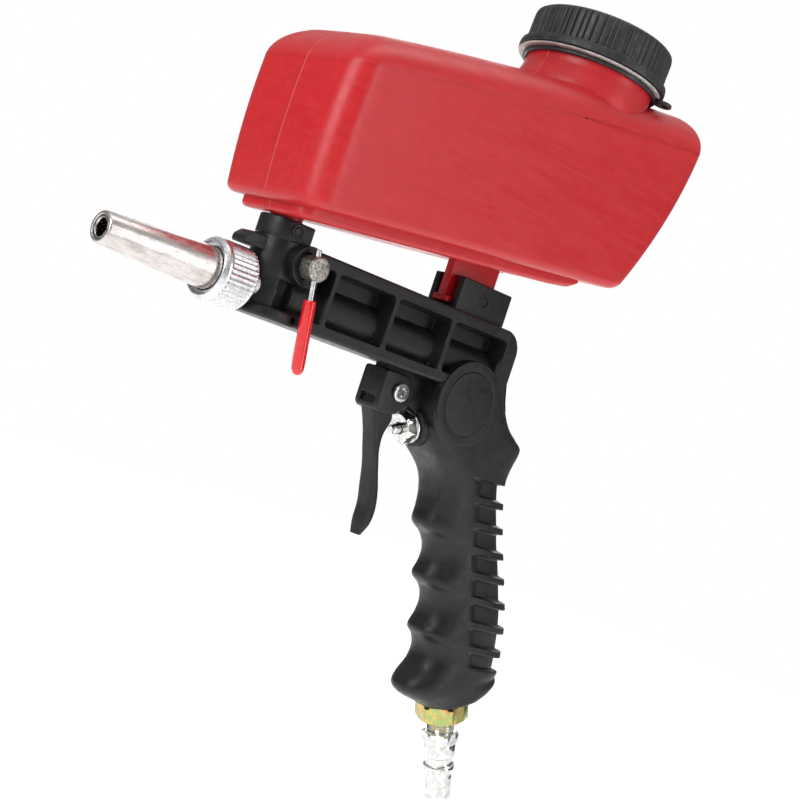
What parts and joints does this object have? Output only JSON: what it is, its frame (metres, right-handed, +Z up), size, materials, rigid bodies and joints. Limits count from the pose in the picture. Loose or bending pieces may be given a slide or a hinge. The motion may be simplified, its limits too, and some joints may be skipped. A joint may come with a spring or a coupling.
{
  "type": "gravity-feed abrasive blasting gun",
  "caption": "Handheld pneumatic blasting gun: pistol grip and trigger, nozzle with screw nut, media lever, hopper with screw cap on top, and a quick plug under the grip.",
  "frame": {"origin": "middle of the grip, where a hand holds the gun", "axes": "+Z up, with the barrel level and the hopper on top; +X from the nozzle back along the barrel; +Y across, to the holder's right, so the lever is on the -Y side"},
  "size_m": [0.2614, 0.0646, 0.3366],
  "materials": {
    "black_nylon": "satin moulded",
    "red_polyethylene": "blow moulded, satin gloss",
    "bright_steel": "turned and bright",
    "chrome_plate": "polished plate",
    "dark_steel": "blackened",
    "knurled_aluminium": "knurled and turned",
    "yellow_zinc": "yellow passivated zinc",
    "brass": "machined",
    "red_vinyl": "dipped, glossy",
    "seal_rubber": "smooth",
    "cap_plastic": "satin moulded",
    "milky_seal": "soft, milky"
  },
  "bodies": {
    "gun": {"gun_body": "black_nylon", "thread_bush": "bright_steel", "nozzle_seal": "seal_rubber", "air_jet": "brass", "jet_seal": "seal_rubber", "front_set_screw": "dark_steel", "rear_set_screw": "dark_steel", "pivot_screw": "bright_steel", "pivot_nut": "bright_steel", "gland_nut": "chrome_plate", "stem_seal": "seal_rubber", "valve_seat": "brass", "valve_spring": "dark_steel", "inlet_bush": "yellow_zinc", "inlet_seal": "seal_rubber", "quick_plug": "chrome_plate", "hopper": "red_polyethylene", "neck_lip": "milky_seal", "tether_ring": "cap_plastic"},
    "nozzle": {"nozzle_tube": "bright_steel", "nozzle_liner": "chrome_plate"},
    "nut": {"nozzle_nut": "knurled_aluminium"},
    "media_valve": {"media_spindle": "bright_steel", "spindle_seal_near": "seal_rubber", "spindle_seal_far": "seal_rubber", "spindle_clip": "dark_steel", "lever_rod": "bright_steel", "lever_sleeve": "red_vinyl"},
    "trigger": {"trigger": "black_nylon"},
    "plunger": {"plunger": "chrome_plate", "poppet": "seal_rubber"},
    "cap_seal": {"cap_seal": "milky_seal"},
    "cap": {"hopper_cap": "cap_plastic"}
  },
  "joints": [
    {"name": "nozzle_slide", "type": "slide", "parent": "gun", "child": "nozzle", "axis": [-1, 0, 0], "range_m": [0, 0.009]},
    {"name": "nut_turn", "type": "hinge", "parent": "nozzle", "child": "nut", "pos_m": [-0.17005, 0, 0.08626], "axis": [-1, 0, 0], "range_deg": [0, 2160]},
    {"name": "media_lever", "type": "hinge", "parent": "gun", "child": "media_valve", "pos_m": [-0.14405, 0, 0.09876], "axis": [0, 1, 0], "range_deg": [-90, 90]},
    {"name": "trigger_pull", "type": "hinge", "parent": "gun", "child": "trigger", "pos_m": [-0.07445, 0, 0.06716], "axis": [0, -1, 0], "range_deg": [0, 26], "stiffness_Nm_per_rad": 0.03, "springref_deg": -14.32},
    {"name": "plunger_slide", "type": "slide", "parent": "gun", "child": "plunger", "axis": [0.9311, 0, 0.3649], "range_m": [0, 0.00355], "deforming": ["valve_spring"]},
    {"name": "cap_lift", "type": "slide", "parent": "gun", "child": "cap_seal", "axis": [0.075, 0, 0.9972], "range_m": [0, 0.008]},
    {"name": "cap_turn", "type": "hinge", "parent": "cap_seal", "child": "cap", "pos_m": [-0.02053, 0, 0.22644], "axis": [0.075, 0, 0.9972], "range_deg": [0, 720]}
  ],
  "couplings": [
    {"joint": "nut_turn", "follows": "nozzle_slide", "rad_per_m": 4188.8},
    {"joint": "trigger_pull", "follows": "plunger_slide", "rad_per_m": 126.58},
    {"joint": "cap_turn", "follows": "cap_lift", "rad_per_m": 1570.8}
  ]
}
